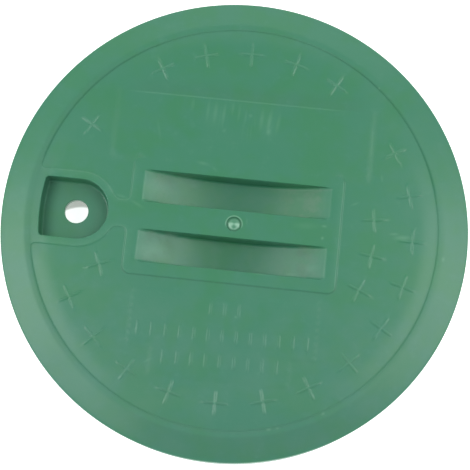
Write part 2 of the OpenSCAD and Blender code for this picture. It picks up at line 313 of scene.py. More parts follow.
# %% Scoops, pocket and bolt hole
WALL_DRAFT, CUT_EDGE = math.radians(2.5), 0.45
SCOOP_DEPTH, SCOOP_FILLET = 13.0, 1.4
SCOOP_R = (SCOOP_L ** 2 / 4 + SCOOP_DEPTH ** 2) / (2 * SCOOP_DEPTH)
POCKET_DEPTH, POCKET_CORNER, POCKET_FILLET = 9.5, 1.8, 1.3
HOLE_R, HOLE_EDGE, HOLE_INSET = 6.9, 0.35, 19.8
HOLE_X = -(POCKET_OUT - HOLE_INSET)


def scoop_space(x, y, z, grow=0.0):
    """Distance to a scoop's air: between drafted side walls and inside the floor's long cylinder. Both
    stand further out by `grow`, which gives the outside of the scoop's shell."""
    depth = COVER_H - z
    wall = np.abs(np.abs(y) - SCOOP_Y) - SCOOP_W / 2 - grow + depth * math.tan(WALL_DRAFT)
    floor = np.hypot(x, z - COVER_H + SCOOP_DEPTH - SCOOP_R) - SCOOP_R - grow
    return soft_and(wall * math.cos(WALL_DRAFT), floor, SCOOP_FILLET + grow)


def pocket_plan(x, y):
    """Distance to the pocket's outline: the tongue, cut off by a wall round the cover's middle."""
    return soft_and(round_ended(x, y, POCKET_W / 2), np.hypot(x, y) - POCKET_OUT, POCKET_CORNER)


def pocket_space(x, y, z):
    """Distance to the pocket's air: inside its drafted walls and over its floor."""
    depth = COVER_H - z
    wall = (pocket_plan(x, y) + depth * math.tan(WALL_DRAFT)) * math.cos(WALL_DRAFT)
    return soft_and(wall, depth - POCKET_DEPTH, POCKET_FILLET)


def top_distance(x, y, z, surface):
    """Distance to the plastic from above: under the plate's surface and outside every cut."""
    body = soft_and(z - surface, -scoop_space(x, y, z), CUT_EDGE)
    body = soft_and(body, -pocket_space(x, y, z), CUT_EDGE)
    return soft_and(body, HOLE_R - np.hypot(x - HOLE_X, y), HOLE_EDGE)


print(f"a scoop's floor is an arc of {SCOOP_R:.1f} mm, the hole stands at x = {HOLE_X:.1f} mm")

# %% [markdown]
# From distances to a height. Every wall leans outwards, so a vertical line meets the top only once, and
# its height can be found by halving: start with a height in the air and one in the plastic, look at the
# middle, keep the half that holds the surface, and go on.

# %% Height of the finished top
HALVINGS, SEARCH_ABOVE, SEARCH_BELOW = 30, 1.0, 18.0


def first_meeting(distance, air_z, solid_z, count):
    """Height at which a vertical line enters the plastic, by halving the way between air and solid."""
    air, solid = np.full(count, float(air_z)), np.full(count, float(solid_z))
    for _ in range(HALVINGS):
        middle = (air + solid) / 2
        inside = distance(middle) < 0
        air, solid = np.where(inside, air, middle), np.where(inside, middle, solid)
    return (air + solid) / 2


def top_height(x, y):
    """Height of the finished top."""
    surface = plate_surface(x, y)
    start, end = COVER_H + SEARCH_ABOVE, COVER_H - SEARCH_BELOW
    return first_meeting(lambda z: top_distance(x, y, z, surface), start, end, len(x))


probe = np.array([0.0, 30.0, 50.0])
print("scoop floor at 0, 30 and 50 mm:", top_height(probe, 0 * probe + SCOOP_Y).round(2))

# %% [markdown]
# The underside has what such covers have: a locating ring that centres the cover in the box, a hub ring
# round the scoops, ribs between the two, two webs under the bar, and the outsides of the scoops and of
# the pocket. It is made in the same way as the top, from distances and looked at from below.

# %% Underside
RIB_T, RIB_H, RIB_COUNT, RIB_LAP, HUB_R, WEB_X = 2.5, 12.0, 8, 1.0, 77.0, 38.0
RIB_DRAFT, RIB_EDGE, RIB_FILLET = math.radians(0.75), 0.45, 0.8
CHANNEL_W, RING_LIFT = 14.0, 6.0
RING_R = FOOT_R - WALL_T - CHANNEL_W
UNDER_Z = COVER_H - LAND_RISE - PLATE_T
RIB_Z = UNDER_Z - RIB_H
POCKET_UNDER = COVER_H - POCKET_DEPTH - PLATE_T


def hanging(plan, bottom, z):
    """Distance to a wall that hangs from the plate down to `bottom`, a little thinner at its foot."""
    middle = (bottom + UNDER_Z) / 2
    return soft_and(plan - (z - middle) * math.tan(RIB_DRAFT), bottom - z, RIB_EDGE)


def rib_plan(x, y):
    """Distance to the ribs' outline in plan: radial ribs by folding the angle, and the two webs, each
    running a little way into the rings at its ends."""
    r, step = np.hypot(x, y), 2 * math.pi / RIB_COUNT
    turn = np.mod(np.arctan2(y, x), step) - step / 2
    past_ends = np.maximum(HUB_R - RIB_LAP - r, r - RING_R + RIB_LAP)
    radial = np.maximum(np.abs(r * np.sin(turn)) - RIB_T / 2, past_ends)
    web = np.maximum(np.abs(np.abs(x) - WEB_X) - RIB_T / 2, r - HUB_R + RIB_LAP)
    return np.minimum(radial, web)


def pocket_shell(x, y):
    """Distance to the outline of the pocket's outside, below the plate."""
    return round_ended(x, y, POCKET_W / 2 + WALL_T)


def under_distance(x, y, z):
    """Distance to the plastic from below: the plate, the rings, the ribs and the outsides of the cuts."""
    r = np.hypot(x, y)
    body = land_level(r) - LAND_RISE - PLATE_T - z
    body = soft_or(body, scoop_space(x, y, z, WALL_T), RIB_FILLET)
    shell = np.maximum(pocket_shell(x, y), r - RING_R + RIB_LAP)
    body = soft_or(body, hanging(shell, POCKET_UNDER, z), RIB_FILLET)
    body = soft_or(body, hanging(rib_plan(x, y), RIB_Z, z), RIB_FILLET)
    body = soft_or(body, hanging(np.abs(r - HUB_R + RIB_T / 2) - RIB_T / 2, RIB_Z, z), RIB_FILLET)
    body = soft_or(body, hanging(np.abs(r - RING_R + WALL_T / 2) - WALL_T / 2, RING_LIFT, z), RIB_FILLET)
    return soft_and(body, HOLE_R - np.hypot(x - HOLE_X, y), HOLE_EDGE)


def under_height(x, y):
    """Height of the finished underside."""
    return first_meeting(lambda z: under_distance(x, y, z), -SEARCH_ABOVE, COVER_H - 2, len(x))


probe = np.array([0.0, 60.0, 90.0, 125.0])
print("underside along +Y at 0, 60, 90 and 125 mm:", under_height(0 * probe, probe).round(2))

# %% [markdown]
# Where the points go. A plain grid would need millions of points to catch fillets of half a millimetre,
# so the points are laid in rows that follow each edge, close together across it and further apart along
# it, with a loose honeycomb over the open field. A row is found by sliding points to where an outline's
# distance has the row's value, which is Newton's method on the distance.


# %% Points along an outline
def slide(points, distance, level):
    """Moves points along the distance's slope, in six steps, until the distance there is `level`."""
    p, h = points.copy(), 1e-3
    for _ in range(6):
        gap = distance(p[:, 0], p[:, 1]) - level
        gx = (distance(p[:, 0] + h, p[:, 1]) - distance(p[:, 0] - h, p[:, 1])) / (2 * h)
        gy = (distance(p[:, 0], p[:, 1] + h) - distance(p[:, 0], p[:, 1] - h)) / (2 * h)
        p -= np.column_stack([gx, gy]) * (gap / np.maximum(gx * gx + gy * gy, 0.25))[:, None]
    return p


def resample(corners, spacing, closed=True):
    """Points at even steps along a path through the corners."""
    path = np.array(corners + corners[:1] if closed else corners, float)
    length = np.concatenate([[0], np.cumsum(np.hypot(*np.diff(path, axis=0).T))])
    count = max(2, round(length[-1] / spacing))
    s = np.linspace(0, length[-1], count + (0 if closed else 1), endpoint=not closed)
    return np.column_stack([np.interp(s, length, path[:, 0]), np.interp(s, length, path[:, 1])])


def arc(cx, cy, r, start, end, steps=40):
    """Corner points round an arc, in degrees."""
    a = np.radians(np.linspace(start, end, steps))
    return [tuple(p) for p in np.column_stack([cx + r * np.cos(a), cy + r * np.sin(a)])]


print("a 10 mm square gets", len(resample([(0, 0), (10, 0), (10, 10), (0, 10)], 2.5)), "points 2.5 mm apart")

# %% [markdown]
# The rows are collected with the edges between their points, because the triangles have to keep to them.
# A constrained Delaunay triangulation does that, and it fills the gaps with the best shaped triangles.


# %% Rows and triangles
class Rows:
    """Collects points and the edges between them, for the triangles to keep to."""

    def __init__(self):
        self.points, self.edges, self.count = [], [], 0

    def add(self, points, closed=False):
        """One row of points, joined one to the next."""
        i = np.arange(self.count, self.count + len(points))
        pairs = np.column_stack([i, np.roll(i, -1)])
        self.edges.append(pairs if closed else pairs[:-1])
        self.points.append(points)
        self.count += len(points)

    def follow(self, base, distance, levels, closed=True):
        """Rows beside an outline, one for each level of its distance."""
        for level in levels:
            self.add(slide(base, distance, level), closed)

    def ring(self, r, count, cx=0.0):
        """A ring about (cx, 0)."""
        a = np.arange(count) * 2 * math.pi / count
        self.add(np.column_stack([cx + r * np.cos(a), r * np.sin(a)]), closed=True)

    def grid(self, xs, ys, place=None):
        """Lines of a grid along X, moved to their place by a function if one is given."""
        for y in ys:
            line = np.column_stack([xs, np.full(len(xs), y)])
            self.add(place(line) if place else line)

    def fill(self, spacing, outer_r, clear):
        """A honeycomb of loose points, none nearer than `clear` to a row."""
        n = int(outer_r / spacing) + 2
        i, j = np.meshgrid(np.arange(-n, n + 1), np.arange(-2 * n, 2 * n + 1))
        x = (i + 0.5 * (j % 2)).ravel() * spacing
        y = j.ravel() * spacing * math.sqrt(3) / 2
        keep = np.hypot(x, y) < outer_r
        loose = np.column_stack([x[keep], y[keep]])
        squares = np.unique(np.floor(np.vstack(self.points) / clear).astype(int), axis=0)
        taken = np.vstack([squares + (a, b) for a in (-1, 0, 1) for b in (-1, 0, 1)])
        number = (4096, 1)      # one number for each square: no line of squares is as long as 4096
        loose = loose[~np.isin(np.floor(loose / clear).astype(int) @ number, taken @ number)]
        self.points.append(loose)
        self.count += len(loose)


def triangulate(rows, hole_r):
    """Delaunay triangles through all points that keep every row as edges, with the bolt hole left open."""
    points = [Vector(p) for p in np.vstack(rows.points)]
    edges = [tuple(e) for e in np.vstack(rows.edges).tolist()]
    made = geometry.delaunay_2d_cdt(points, edges, [], 0, 1e-5, False)
    p, t = np.array([tuple(v) for v in made[0]]), np.array(made[2])
    middle = p[t].mean(1)
    return p, t[np.hypot(middle[:, 0] - HOLE_X, middle[:, 1]) > hole_r]


print("rows are ready for the top and for the underside")

# %% [markdown]
# The top's rows. Each kind of edge gets its own set of distances: a shallow step needs a few rows either
# side, a scoop's wall needs rows from its rounded lip down through the fillet at its floor.

# %% Rows of the land, the scoops, the pocket and the hole
STEP_ROWS = (-0.75, -0.45, -0.3, -0.1, 0.1, 0.3, 0.45, 0.75)
HOLE_ROWS = (0, 0.03, 0.08, 0.15, 0.25, 0.35, 0.7, 1.6)
WALL_ROWS = np.array([
    -0.95, -0.45, -0.3, -0.17, -0.08, -0.02, 0.03, 0.09, 0.18, 0.29, 0.42, 0.55, 0.72, 0.95, 1.3, 1.75, 2.4,
])

top = Rows()
ring_side = 180 - math.degrees(math.asin(POCKET_SIDE / CREASE_R))
neck_angle = math.degrees(math.asin(BAR_W / 2 / POCKET_SIDE))
land_path = (
    arc(0, 0, CREASE_R, ring_side, -ring_side, 400)
    + arc(POCKET_X, 0, POCKET_SIDE, -90, -neck_angle)
    + [(-FRAME_X, -BAR_W / 2), (-FRAME_X, -FRAME_Y), (FRAME_X, -FRAME_Y)]
    + [(FRAME_X, FRAME_Y), (-FRAME_X, FRAME_Y), (-FRAME_X, BAR_W / 2)]
    + arc(POCKET_X, 0, POCKET_SIDE, neck_angle, 90)
)
top.follow(slide(resample(land_path, 1.3), land_plan, 0), land_plan, STEP_ROWS)

lip_xs = np.array([-0.9, -0.4, -0.2, 0, 0.2, 0.4, 0.9])
floor_xs = np.linspace(2 - SCOOP_L / 2, SCOOP_L / 2 - 2, 53)
scoop_xs = np.concatenate([lip_xs - SCOOP_L / 2, floor_xs, lip_xs + SCOOP_L / 2])
floor_ys = np.linspace(3.6, SCOOP_W - 3.6, 6)
scoop_ys = np.concatenate([WALL_ROWS, floor_ys, SCOOP_W - WALL_ROWS[::-1]]) + BAR_W / 2
for half in (1, -1):
    top.grid(scoop_xs, half * scoop_ys)

pocket_path = arc(0, 0, POCKET_OUT, 180 - 8.9, 180 + 8.9) + arc(POCKET_X, 0, POCKET_W / 2, -90, 90)
top.follow(slide(resample(pocket_path, 1.2), pocket_plan, 0), pocket_plan, -WALL_ROWS[:-1])
for past_hole in HOLE_ROWS:
    top.ring(HOLE_R + past_hole, 64, HOLE_X)
print(top.count, "points along the land and the cuts")

# %% [markdown]
# The relief's rows. The gate mark gets rings, the fine line gets rows along it, and every cross and bar
# gets small grids, drawn once about the middle and then turned or moved to each copy's place.


# %% Rows of the relief
def turned(p, angle):
    """Points turned about the middle: x cos less y sin, and x sin plus y cos."""
    c, s = math.cos(angle), math.sin(angle)
    return np.column_stack([p[:, 0] * c - p[:, 1] * s, p[:, 0] * s + p[:, 1] * c])


GATE_ROWS = (
    0.5, 1.0, 1.5, 2.0, 2.5, 2.9, 3.2, 3.45, 3.8, 3.92, 4.04, 4.15, 4.26, 4.38, 4.55, 4.75, 5.0, 5.3,
)
for ring_r in GATE_ROWS:
    top.ring(ring_r, 48)
top.grid(np.linspace(-75, 65, 101), FRAME_Y + UPPER_W + LINE_W * np.array([-1, -0.5, 0, 0.5, 1]))

across = STROKE_W * np.array([-1, -0.63, -0.31, 0, 0.31, 0.63, 1])
arm = np.array([2.2, 3.4, 4.6, 5.6, 6.4, 7.0, 7.5])
along = np.concatenate([-arm[::-1], across, arm])
for steps, ring_r in ((OUTER_STEPS, OUTER_CROSS_R), (INNER_STEPS, INNER_CROSS_R)):
    for step in steps:
        top.grid(along, across, lambda p: turned(p + (ring_r, 0), step * CROSS_STEP))
        top.grid(along, across, lambda p: turned(p[:, ::-1] + (ring_r, 0), step * CROSS_STEP))
bar_along = np.array([-4.3, -4.0, -3.6, -2.6, -1.3, 0, 1.3, 2.6, 3.6, 4.0, 4.3])
for row, count in enumerate(BAR_COUNTS):
    for k in range(count):
        middle = (k - (count - 1) / 2) * BAR_PITCH, BAR_Y - row * BAR_ROW
        top.grid(bar_along, across, lambda p: p[:, ::-1] + middle)
print(top.count, "points with the relief")

# %% [markdown]
# Last come rings over the crease, the shelf and the shoulder, then the loose points of the open field,
# and everything is joined to triangles.

# %% Triangles of the top
TOP_R, RING_STEPS = FOOT_R - 2.2, 360
for past_crease in (1.2, 1.9, 2.4, 2.9, 3.4, 3.9, 4.4, 4.9, 6.5, 8.6, 11, 13.4):
    top.ring(CREASE_R + past_crease, RING_STEPS)
top.ring(TOP_R, RING_STEPS)
top.fill(2.3, CREASE_R, 0.9)
top_points, top_faces = triangulate(top, HOLE_R)
print(len(top_points), "points and", len(top_faces), "triangles on top")

# %% [markdown]
# The underside's rows follow its rings, ribs and shells in the same way. Its walls are nearly upright, so
# the rows crowd within a millimetre of each wall and the flat bays between need only a few points.

# %% Triangles of the underside
UNDER_R = FOOT_R - WALL_T - 2.0
RIB_ROWS = np.array([-0.75, -0.45, -0.3, -0.15, -0.06, 0.0, 0.07, 0.16, 0.35, 0.65, 1.0])
ROW_GAP = 1.1       # how far the ribs' rows stop before a ring's wall

under = Rows()
for wall_r, side in ((RING_R, 1), (RING_R - WALL_T, -1), (HUB_R, 1), (HUB_R - RIB_T, -1)):
    for offset in RIB_ROWS:
        under.ring(wall_r + side * offset, 300)
rib_along = np.arange(HUB_R + 1.2, RING_R - WALL_T - ROW_GAP, 2.8)
rib_across = np.concatenate([-RIB_T / 2 - RIB_ROWS[::-1], [0], RIB_T / 2 + RIB_ROWS])
for k in range(RIB_COUNT):
    under.grid(rib_along, rib_across, lambda p: turned(p, (k + 0.5) * 2 * math.pi / RIB_COUNT))
for side in (-1, 1):
    for offset in rib_across:
        x = side * (WEB_X + offset)
        reach = math.sqrt((HUB_R - RIB_T - ROW_GAP) ** 2 - x * x)
        under.add(np.column_stack([np.full(75, x), np.linspace(-reach, reach, 75)]))

shell_rows = np.concatenate([RIB_ROWS - 0.3, [1.4]])
shell_xs, shell_ys = np.linspace(-56, 56, 57), np.linspace(7, 27, 8)
for edge, side in ((SCOOP_Y + SCOOP_W / 2 + WALL_T, 1), (SCOOP_Y - SCOOP_W / 2 - WALL_T, -1)):
    for half in (-1, 1):
        under.grid(shell_xs, half * (edge + side * shell_rows))
under.grid(shell_xs, np.concatenate([shell_ys, -shell_ys]))
shell_x, shell_y = -RING_R + WALL_T + 1.2, POCKET_W / 2 + WALL_T
shell_path = [(shell_x, -shell_y)] + arc(POCKET_X, 0, shell_y, -90, 90) + [(shell_x, shell_y)]
under.follow(resample(shell_path, 1.5, closed=False), pocket_shell, RIB_ROWS, closed=False)
for past_hole in HOLE_ROWS:
    under.ring(HOLE_R + past_hole, 64, HOLE_X)
for before_skirt in (5, 2.5, 0):
    under.ring(UNDER_R - before_skirt, RING_STEPS)
under.fill(3.2, UNDER_R - 0.5, 1.2)
under_points, under_faces = triangulate(under, HOLE_R)
print(len(under_points), "points and", len(under_faces), "triangles underneath")

# %% [markdown]
# The rim's outer edge, the skirt and its foot are the same all the way round, so they are one profile
# turned about Z. The profile starts where the top's points end and stops where the underside's begin,
# and its corners are arcs that touch both of their neighbours.


# %% Profile of the edge, the skirt and the foot
def shoulder(wall_r, level, radius, steps=9):
    """Arc between the rim's slope and a drafted wall: its centre is one radius inside both of them."""
    centre_r = FOOT_R
    for _ in range(4):
        centre_z = level(centre_r) - radius / math.cos(RIM_SLOPE)
        centre_r = wall_r - centre_z * math.tan(SKIRT_DRAFT) - radius / math.cos(SKIRT_DRAFT)
    a = np.linspace(math.pi / 2 - RIM_SLOPE, SKIRT_DRAFT, steps)
    return np.column_stack([centre_r + radius * np.cos(a), centre_z + radius * np.sin(a)])


def foot_corner(r, side, radius=0.5, steps=6):
    """Quarter arc at the foot, from the wall down to the ground plane."""
    a = np.linspace(0, math.pi / 2, steps)
    return np.column_stack([r - side * radius * (1 - np.cos(a)), radius * (1 - np.sin(a))])


def under_level(r):
    """Height of the plate's underside near the skirt."""
    return land_level(r) - LAND_RISE - PLATE_T


INNER_R, INNER_EDGE_R = FOOT_R - WALL_T, 1.5
outer_edge = shoulder(FOOT_R, land_level, EDGE_R)
inner_edge = shoulder(INNER_R, under_level, INNER_EDGE_R)
heights = np.array([24, 20, 15, 10, 6, 3, 1.2])
outer_wall = np.column_stack([FOOT_R - heights * math.tan(SKIRT_DRAFT), heights])
inner_wall = np.column_stack([INNER_R - heights[1:] * math.tan(SKIRT_DRAFT), heights[1:]])
foot = np.array([[FOOT_R - 1.2, 0], [INNER_R + 1.2, 0]])
profile = np.vstack([
    outer_edge, outer_wall, foot_corner(FOOT_R, 1), foot,
    foot_corner(INNER_R, -1)[::-1], inner_wall[::-1], inner_edge[::-1],
])
print(len(profile), "points in the skirt's profile, widest", profile[:, 0].max().round(2), "mm")

# %% [markdown]
# Everything is joined by number, not by distance: the outermost ring of the top, each ring of the turned
# profile and the outermost ring of the underside have the same count of points at the same angles, so a
# band of four-sided faces joins each ring to the next. The bolt hole is one more band.


# %% Join the parts of the surface
def ring_of(points, r, cx=0.0):
    """Numbers of the points at radius r about (cx, 0), in order of their angle."""
    found = np.flatnonzero(np.abs(np.hypot(points[:, 0] - cx, points[:, 1]) - r) < 1e-4)
    a = np.mod(np.arctan2(points[found, 1], points[found, 0] - cx) + 1e-6, 2 * math.pi)
    return found[np.argsort(a)]


def band(upper, lower):
    """Faces between two rings, turned so that they face away from the axis when upper is above."""
    return np.column_stack([upper, lower, np.roll(lower, -1), np.roll(upper, -1)])


def facing(points, faces, up):
    """Triangles turned to face up or down."""
    a, b, c = (points[faces[:, k]] for k in range(3))
    area = np.cross(b - a, c - a)
    return np.where(((area > 0) == up)[:, None], faces, faces[:, ::-1])


def on_hole(points):
    """Which points lie on the bolt hole's edge."""
    return np.hypot(points[:, 0] - HOLE_X, points[:, 1]) < HOLE_R + 1e-3


top_z = np.where(on_hole(top_points), COVER_H - POCKET_DEPTH - HOLE_EDGE, top_height(*top_points.T))
under_z = np.where(on_hole(under_points), POCKET_UNDER + HOLE_EDGE, under_height(*under_points.T))

turn = np.arange(RING_STEPS) * 2 * math.pi / RING_STEPS
skirt = np.stack([
    profile[:, :1] * np.cos(turn), profile[:, :1] * np.sin(turn), np.repeat(profile[:, 1:], RING_STEPS, 1),
], axis=-1).reshape(-1, 3)
points = np.vstack([np.column_stack([top_points, top_z]), np.column_stack([under_points, under_z]), skirt])
under_start, skirt_start = len(top_points), len(top_points) + len(under_points)
skirt_rings = skirt_start + np.arange(len(skirt)).reshape(len(profile), RING_STEPS)
rings = [ring_of(top_points, TOP_R), *skirt_rings, under_start + ring_of(under_points, UNDER_R)]
bands = [band(upper, lower) for upper, lower in zip(rings[:-1], rings[1:])]
bore_top = ring_of(top_points, HOLE_R, HOLE_X)
bore_under = under_start + ring_of(under_points, HOLE_R, HOLE_X)
quads = np.vstack(bands + [band(bore_under, bore_top)])
triangles = np.vstack([
    facing(top_points, top_faces, True), under_start + facing(under_points, under_faces, False),
])
print(len(points), "points,", len(triangles) + 2 * len(quads), "triangles in the whole cover")

# %% [markdown]
# Shading normals. Between rows of very different spacing, averaged normals would bend the light over the
# flat field. The distances know the true slope at every point, so the normals are read from them.


# %% Make the mesh
def slope(distance, p, h=0.01):
    """Unit normals: how the distance changes for a small move along X, Y and Z, scaled to length one."""
    moves = np.eye(3) * h
    g = np.column_stack([distance(*(p + m).T) - distance(*(p - m).T) for m in moves])
    return g / np.linalg.norm(g, axis=1)[:, None]


def sides(faces):
    """Every side of every face, as the two numbers of its ends, the smaller one first."""
    return np.sort(np.stack([faces, np.roll(faces, -1, axis=1)], axis=-1).reshape(-1, 2), axis=1)


def make_piece(name, points, faces):
    """A smooth mesh object at the origin, from points in millimetres."""
    mesh = bpy.data.meshes.new(name)
    mesh.from_pydata((points * MM).tolist(), [], faces)
    mesh.polygons.foreach_set("use_smooth", np.ones(len(faces), bool))
    mesh.update()
    piece = bpy.data.objects.new(name, mesh)
    bpy.context.scene.collection.objects.link(piece)
    return piece


cover = make_piece("moulded_cover", points, triangles.tolist() + quads.tolist())
normals = np.empty(len(points) * 3)
cover.data.vertices.foreach_get("normal", normals)
normals = normals.reshape(-1, 3)
normals[:under_start] = slope(lambda x, y, z: top_distance(x, y, z, plate_surface(x, y)), points[:under_start])
normals[under_start:skirt_start] = slope(under_distance, points[under_start:skirt_start])
cover.data.normals_split_custom_set_from_vertices(normals.tolist())
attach(cover, "root")
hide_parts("cover")
faces_at = np.unique(np.vstack([sides(triangles), sides(quads)]), axis=0, return_counts=True)[1]
print("edges without two faces:", int((faces_at != 2).sum()))

# %% [markdown]
# The plastic is coloured right through, so there is no paint to wear off: what varies is how well the pigment
# mixed, how glossy the mould left each patch, and what handling has rubbed pale, and painted highlights, sheen
# and shade are laid on with them. The material is built up in that order. Each pattern reads the Object
# coordinates, so it stays on the plastic from whatever side the cover is seen.

# %% Start of the green plastic
plastic = bpy.data.materials.new("green_plastic")
plastic.use_nodes = True
tree = plastic.node_tree
bsdf = tree.nodes["Principled BSDF"]
place_on_cover = tree.nodes.new("ShaderNodeTexCoord").outputs["Object"]


def feed(socket, value):
    """Links a node's output into a socket, or sets the socket when the value is plain."""
    if isinstance(value, bpy.types.NodeSocket):
        tree.links.new(value, socket)
    else:
        socket.default_value = value


def math_node(operation, a, b=0.0):
    """One sum, such as "ADD" or "MULTIPLY", on two values."""
    node = tree.nodes.new("ShaderNodeMath")
    node.operation = operation
    feed(node.inputs[0], a)
    feed(node.inputs[1], b)
    return node.outputs[0]


def vector_node(operation, a, b, out="Vector"):
    """One sum on two vectors."""
    node = tree.nodes.new("ShaderNodeVectorMath")
    node.operation = operation
    feed(node.inputs[0], a)
    feed(node.inputs[1], b)
    return node.outputs[out]


print(plastic.name, "starts with", len(tree.nodes), "nodes")

# %% [markdown]
# Three more helpers draw the patterns: a fade turns a distance or a noise into a mask with soft edges, the
# noise gives patches of a size in millimetres, and a blend lays one colour over another by a mask.


# %% Fades, noise and blends
def fade(value, low, high):
    """Rises softly from 0 at `low` to 1 at `high`; low may be the larger of the two."""
    node = tree.nodes.new("ShaderNodeMapRange")
    node.interpolation_type = "SMOOTHSTEP"
    for socket, number in zip(("From Min", "From Max"), (low, high)):
        node.inputs[socket].default_value = number
    feed(node.inputs["Value"], value)
    return node.outputs["Result"]


def noise(size, detail=2.0, stretch=(1, 1, 1), roughness=0.5):
    """Smooth noise with patches about `size` mm across, drawn out along an axis by its `stretch`."""
    node = tree.nodes.new("ShaderNodeTexNoise")
    node.inputs["Scale"].default_value = 1 / (size * MM)
    node.inputs["Detail"].default_value = detail
    node.inputs["Roughness"].default_value = roughness
    feed(node.inputs["Vector"], vector_node("MULTIPLY", place_on_cover, [1 / s for s in stretch]))
    return node.outputs["Fac"]


def blend(factor, a, b):
    """Colour a where the factor is 0 and colour b where it is 1."""
    node = tree.nodes.new("ShaderNodeMix")
    node.data_type = "RGBA"
    feed(node.inputs["Factor"], factor)
    feed(node.inputs["A"], a)
    feed(node.inputs["B"], b)
    return node.outputs["Result"]


print("fades, noise and blends are ready")

# %% [markdown]
# Where the plastic is pale, and where light and shade are painted on. Two marks follow the moulded shapes
# closely, so they are worked out for every point of the surface and stored with it, and the material reads them
# as attributes. The first is 1 where the cold plug of plastic whitened the gate mark, and holds painted
# highlights on the upper side of the gate's lip, along the left and right ends of the scoops' frame, on the
# crosses' strokes that run along Y and on the fine line. The second is painted shade at the foot of the frame's
# step on its -Y side, in the gate's groove and beside the lower crosses' strokes that run along X.

# %% Marks that follow the relief
def whitening_and_highlight_marks(x, y):
    """1 on the gate's nub, but for a dull scar near its foot, and less for painted highlights: on the upper side
    of its lip, along the left and right ends of the scoops' frame, on the crosses' strokes that run along Y and
    on the fine line."""
    r = np.hypot(x, y)
    scar = 0.85 * np.exp(-((x - 0.2) / 1.8) ** 2 - ((y + 1.5) / 0.85) ** 2) + 0.75 * smooth_step((y - 0.1) / 1.3)
    scar += 0.35 * np.exp(-(x / 0.9) ** 2)
    nub = smooth_step((GATE_R - r) / 0.7) * np.maximum(1 - scar, 0.15)
    # Painted highlights: the lip's upper side, the frame's ends, the upright strokes and the fine line.
    lip = 0.45 * np.maximum(1 - ((r - 4.75) / 0.5) ** 2, 0) * smooth_step((y + 0.6 * np.abs(x)) / 3)
    side = smooth_step((FRAME_Y - 3 - np.abs(y)) / 4) * (np.abs(x) > FRAME_X - 4)
    edge = 0.08 * np.maximum(1 - ((land_plan(x, y) + 0.35) / 0.6) ** 2, 0) * side
    return np.maximum.reduce([nub, lip, edge, 0.09 * crosses(x, y)[1] / CROSS_RISE, 0.1 * witness_line(x, y)])


def step_shade_marks(x, y):
    """Painted shade: 1 along the foot of the land's step at the side that faces -Y, more in the gate's groove,
    and less beside those strokes of the lower crosses that run along X."""
    r = np.hypot(x, y)
    foot = np.maximum(1 - ((land_plan(x, y) - 0.25) / 0.6) ** 2, 0) ** 2
    groove = np.maximum(1 - ((r - GATE_R - 0.4) / 0.75) ** 2, 0)
    height, upright = crosses(x, y)
    level_strokes = np.maximum(height / 2 - upright, 0) / CROSS_RISE * smooth_step((30 - y) / 70)
    return foot * smooth_step((-y - 20) / 14) * (r < CREASE_R - 4) + 1.3 * groove + level_strokes


for name, mark in (("pale_and_highlight", whitening_and_highlight_marks), ("painted_shade", step_shade_marks)):
    values = np.zeros(len(points))
    values[:under_start] = mark(*top_points.T)
    cover.data.attributes.new(name, "FLOAT", "POINT").data.foreach_set("value", values)
    print(name, "marks", int((values > 0.02).sum()), "points")


def stored(name):
    """The value stored with the surface under this name."""
    node = tree.nodes.new("ShaderNodeAttribute")
    node.attribute_name = name
    return node.outputs["Fac"]


# %% [markdown]
# First the colour. The pigment came as a masterbatch and didn't mix quite evenly, which leaves clouds a few
# centimetres wide, some a little yellower and some a little bluer.

# %% Clouds of pigment
YELLOWER, BLUER = (0.042, 0.221, 0.107, 1), (0.046, 0.220, 0.137, 1)
clouds = fade(math_node("ADD", noise(30, 3), math_node("MULTIPLY", noise(7, 3), 0.45)), 0.56, 0.84)
colour = blend(clouds, YELLOWER, BLUER)
print("clouds between", YELLOWER[:3], "and", BLUER[:3])

# %% [markdown]
# Then where things lie, all in millimetres. The material needs the distance from the middle, the height,
# a switch between the finished top and the underside, which nobody walks on, one that is on above the
# outsides of the scoops, and masks for the insides of the scoops and of the pocket.

# %% Places in the material
axes = tree.nodes.new("ShaderNodeSeparateXYZ")
feed(axes.inputs[0], vector_node("MULTIPLY", place_on_cover, (1 / MM,) * 3))
at_x, at_y, at_z = axes.outputs
in_plan = vector_node("MULTIPLY", place_on_cover, (1 / MM, 1 / MM, 0))
from_middle = vector_node("LENGTH", in_plan, (0, 0, 0), "Value")
over_x, over_y = math_node("ABSOLUTE", at_x), math_node("ABSOLUTE", at_y)
on_top = fade(at_z, 28.4, 29.2)
over_shells = fade(at_z, 16.5, 18.2)


def times(*masks):
    """Product of masks and strengths, one after the other."""
    return reduce(partial(math_node, "MULTIPLY"), masks)


def total(*masks):
    """Sum of masks, one after the other."""
    return reduce(partial(math_node, "ADD"), masks)


SCOOP_FAR = BAR_W / 2 + SCOOP_W
in_scoops = times(
    fade(at_z, 31.6, 28.5), over_shells, fade(over_x, SCOOP_L / 2 + 1.5, SCOOP_L / 2 + 0.5),
    fade(over_y, SCOOP_FAR + 1, SCOOP_FAR), fade(over_y, BAR_W / 2 - 0.5, BAR_W / 2 + 0.5),
)
in_pocket = times(
    fade(at_z, 31.4, 29.5), fade(at_z, 21.2, 22.2), fade(at_x, -77, -79),
    fade(over_y, POCKET_W / 2 + 1, POCKET_W / 2), fade(from_middle, POCKET_OUT + 2.5, POCKET_OUT + 0.5),
)
print(len(tree.nodes), "nodes say where things lie")

# %% [markdown]
# A painted sheen: the colour drifts from a clear green at the upper half to a greyer, washed-out one below.

# %% Greyer side
GREENER, SHEEN_GREY = (0.036, 0.219, 0.103, 1), (0.061, 0.213, 0.147, 1)
# Painted sheen, greyer towards the bottom.
drift = blend(fade(at_y, -15, -85), GREENER, SHEEN_GREY)
colour = blend(0.29, colour, drift)
print("drift from", GREENER[:3], "to", SHEEN_GREY[:3])
